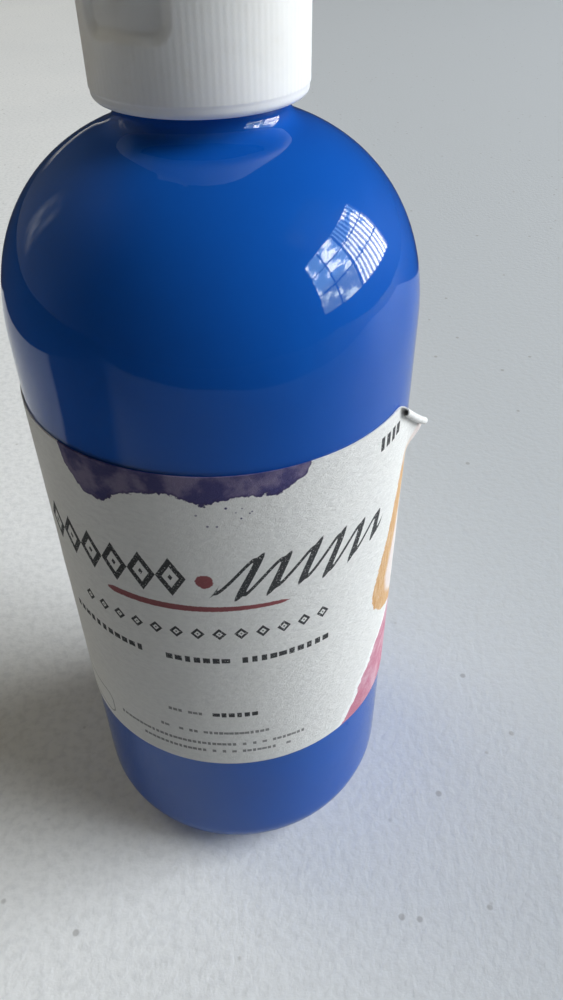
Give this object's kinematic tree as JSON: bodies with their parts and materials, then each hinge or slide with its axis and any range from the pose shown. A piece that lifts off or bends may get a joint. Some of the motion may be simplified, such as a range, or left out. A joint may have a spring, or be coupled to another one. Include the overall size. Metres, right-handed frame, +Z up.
{
  "type": "paint squeeze bottle",
  "caption": "Clear round squeeze bottle of blue poster paint with a domed shoulder, a paper wrap label and a white ribbed flip-top screw cap.",
  "frame": {"origin": "centre of the base, on the surface that the bottle stands on", "axes": "+Z up along the bottle's axis; -Y towards the middle of the label; +X to the label reader's right"},
  "size_m": [0.0688, 0.0688, 0.1815],
  "materials": {
    "clear_pet": "gloss",
    "blue_paint": "satin",
    "label_paper": "matte",
    "washer_foam": "matte",
    "cap_white": "satin",
    "lid_white": "satin",
    "hinge_white": "satin"
  },
  "bodies": {
    "bottle_body": {"bottle": "clear_pet", "paint_fill": "blue_paint", "wrap_label": "label_paper"},
    "washer_body": {"seal_washer": "washer_foam"},
    "cap_body": {"cap_base": "cap_white", "hinge_film_left": "hinge_white", "hinge_film_right": "hinge_white", "hinge_spring_strap": "hinge_white"},
    "lid_body": {"flip_lid": "lid_white"}
  },
  "joints": [
    {"name": "cap_rise", "type": "slide", "parent": "bottle_body", "child": "washer_body", "axis": [0, 0, 1], "range_m": [0, 0.018]},
    {"name": "cap_turn", "type": "hinge", "parent": "washer_body", "child": "cap_body", "pos_m": [0, 0, 0.158], "axis": [0, 0, 1], "range_deg": [0, 1530]},
    {"name": "lid_flip", "type": "hinge", "parent": "cap_body", "child": "lid_body", "pos_m": [0.00948, 0.01213, 0.17455], "axis": [-0.788, 0.6157, 0], "range_deg": [0, 170], "deforming": ["hinge_film_left", "hinge_film_right", "hinge_spring_strap"]}
  ],
  "couplings": [
    {"joint": "cap_rise", "follows": "cap_turn", "m_per_rad": 0.00067376}
  ]
}
